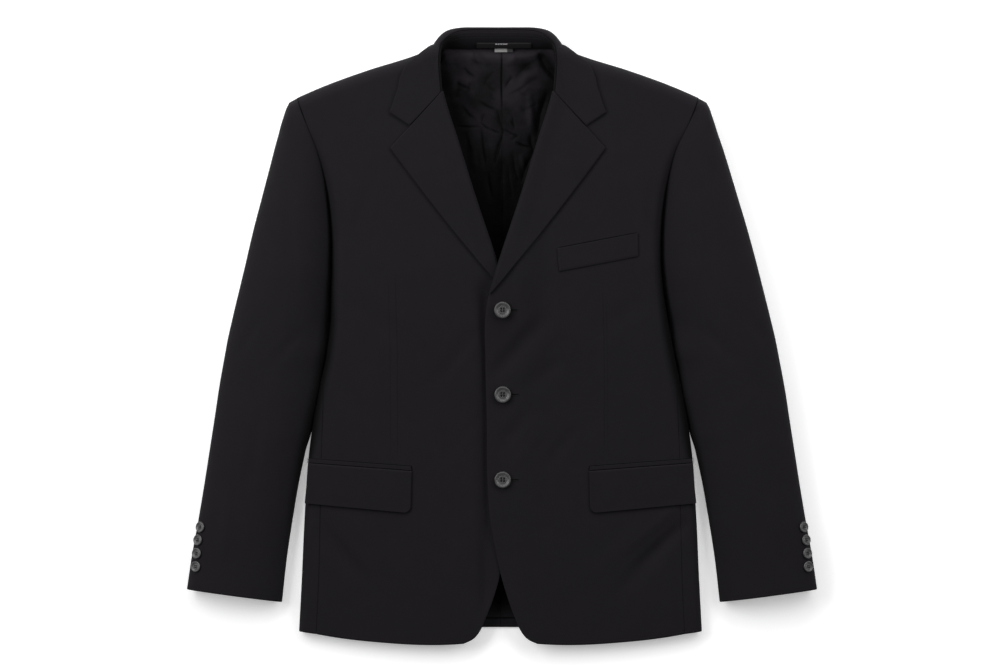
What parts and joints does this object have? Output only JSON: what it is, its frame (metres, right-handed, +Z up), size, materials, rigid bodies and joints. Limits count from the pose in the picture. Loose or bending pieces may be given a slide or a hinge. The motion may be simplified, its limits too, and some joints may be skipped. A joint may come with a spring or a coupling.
{
  "type": "suit jacket",
  "caption": "Single-breasted suit jacket with notched lapels, breast welt and flap pockets, buttoned and laid flat on its back with the sleeves beside it.",
  "frame": {"origin": "centre of the bounding box's bottom face, on the surface that the jacket lies on", "axes": "+X towards the wearer's left, +Y from hem to collar, +Z up from the surface, out of the jacket's front"},
  "size_m": [0.7858, 0.77, 0.0538],
  "materials": {
    "suiting": "matte worsted",
    "lining": "soft satin",
    "button": "satin",
    "label": "matte woven"
  },
  "bodies": {
    "root": {"back_left": "suiting", "back_right": "suiting", "breast_welt": "suiting", "collar_fall": "suiting", "collar_stand": "suiting", "cuff_button_left_1": "button", "cuff_button_left_2": "button", "cuff_button_left_3": "button", "cuff_button_left_4": "button", "cuff_button_right_1": "button", "cuff_button_right_2": "button", "cuff_button_right_3": "button", "cuff_button_right_4": "button", "flap_left": "suiting", "flap_right": "suiting", "front_button_1": "button", "front_button_2": "button", "front_button_3": "button", "front_left": "suiting", "front_right": "suiting", "hanger_loop": "suiting", "jet_left": "suiting", "jet_right": "suiting", "lapel_left": "suiting", "lapel_right": "suiting", "lining_left": "lining", "lining_right": "lining", "neck_label": "label", "side_left": "suiting", "side_right": "suiting", "topsleeve_left": "suiting", "topsleeve_right": "suiting", "undersleeve_left": "suiting", "undersleeve_right": "suiting"}
  },
  "joints": []
}
